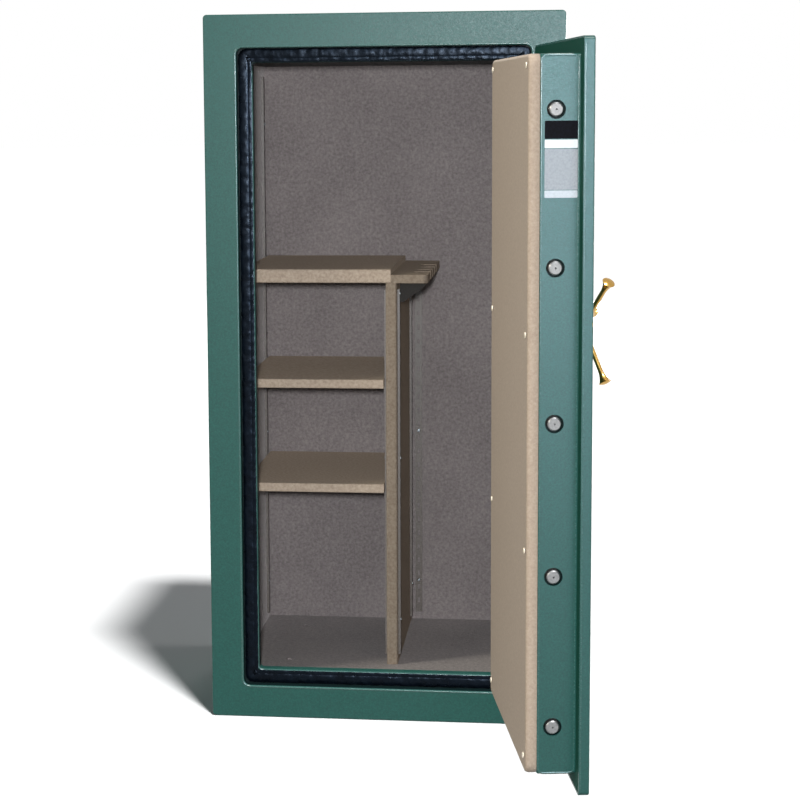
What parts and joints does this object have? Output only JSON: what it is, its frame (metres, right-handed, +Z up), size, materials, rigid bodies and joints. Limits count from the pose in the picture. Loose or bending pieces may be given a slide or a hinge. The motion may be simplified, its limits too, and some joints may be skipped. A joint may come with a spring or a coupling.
{
  "type": "gun safe",
  "caption": "Free-standing gun safe with a hinged door, a spoked handle that drives side locking bolts, a combination dial, and a carpeted interior with divider, shelves and barrel rest.",
  "frame": {"origin": "centre of the underside of the safe's body, on the floor", "axes": "+Z up, -Y out of the front where the door is, +X to the right as seen from the front, which is the hinge side"},
  "size_m": [0.8573, 1.244, 1.524],
  "materials": {
    "green_powder_coat": "satin",
    "dark_undercoat": "matte",
    "fire_board": "matte",
    "taupe_carpet": "matte",
    "carpeted_board": "matte",
    "black_seal_rubber": "gloss",
    "slotted_steel": "satin",
    "plain_steel": "satin",
    "bright_steel": "polished",
    "bearing_bronze": "satin",
    "hardened_steel": "matte",
    "tan_panel_cloth": "matte",
    "cream_button": "gloss",
    "lock_metal": "satin",
    "lock_brass": "satin",
    "black_enamel": "gloss",
    "polished_brass": "polished"
  },
  "bodies": {
    "safe_body": {"outer_shell": "green_powder_coat", "back_plate": "green_powder_coat", "front_frame": "green_powder_coat", "left_fireboard": "fire_board", "right_fireboard": "fire_board", "floor_fireboard": "fire_board", "top_fireboard": "fire_board", "back_fireboard": "fire_board", "left_liner": "taupe_carpet", "right_liner": "taupe_carpet", "floor_liner": "taupe_carpet", "ceiling_liner": "taupe_carpet", "back_liner": "taupe_carpet", "door_seal": "black_seal_rubber", "wall_standards": "slotted_steel", "divider_standards": "slotted_steel", "back_standard": "slotted_steel", "divider": "carpeted_board", "top_shelf": "carpeted_board", "middle_shelf": "carpeted_board", "lower_shelf": "carpeted_board", "shelf_clips": "slotted_steel", "barrel_rest": "carpeted_board", "barrel_rest_brackets": "slotted_steel", "hinge_body_knuckles": "green_powder_coat", "hinge_pins": "bright_steel", "hinge_bearings": "bearing_bronze"},
    "door": {"door_skin": "green_powder_coat", "door_fireboard": "fire_board", "door_back_sheet": "dark_undercoat", "bolt_box": "green_powder_coat", "box_fireboard": "fire_board", "hinge_side_bar": "plain_steel", "bolt_guide": "plain_steel", "door_panel": "tan_panel_cloth", "panel_buttons": "cream_button", "hinge_door_knuckles": "green_powder_coat", "hard_plate": "hardened_steel", "lock_case": "lock_metal", "lock_cover": "lock_metal", "relocker": "plain_steel", "spindle_tube": "lock_brass", "dial_ring": "black_enamel", "handle_escutcheon": "polished_brass"},
    "dial": {"dial": "black_enamel", "dial_knob": "bright_steel", "dial_spindle": "lock_brass", "wheel_pack": "lock_brass"},
    "handle": {"handle_hub": "polished_brass", "handle_spokes": "polished_brass", "handle_spindle": "plain_steel", "handle_cam": "plain_steel"},
    "bolt_carriage": {"locking_bolts": "bright_steel", "bolt_nuts": "plain_steel", "carriage_bar": "plain_steel", "drive_bar": "plain_steel", "blocker_bar": "plain_steel", "blocker_blocks": "plain_steel"},
    "lock_bolt": {"lock_bolt": "lock_brass"}
  },
  "joints": [
    {"name": "door_hinge", "type": "hinge", "parent": "safe_body", "child": "door", "pos_m": [0.344, -0.304, 0.762], "axis": [0, 0, 1], "range_deg": [-99, 81]},
    {"name": "handle_turn", "type": "hinge", "parent": "door", "child": "handle", "pos_m": [0.38596, -0.64564, 0.906], "axis": [0.9877, 0.1564, 0], "range_deg": [0, 80]},
    {"name": "dial_turn", "type": "hinge", "parent": "door", "child": "dial", "pos_m": [0.38596, -0.64564, 1.14], "axis": [0.9877, 0.1564, 0], "continuous": true},
    {"name": "bolt_slide", "type": "slide", "parent": "door", "child": "bolt_carriage", "axis": [0.1564, -0.9877, 0], "range_m": [0, 0.027]},
    {"name": "lock_bolt_slide", "type": "slide", "parent": "door", "child": "lock_bolt", "axis": [0, 0, -1], "range_m": [0, 0.009]}
  ],
  "couplings": [
    {"joint": "bolt_slide", "follows": "handle_turn", "m_per_rad": 0.019337}
  ]
}
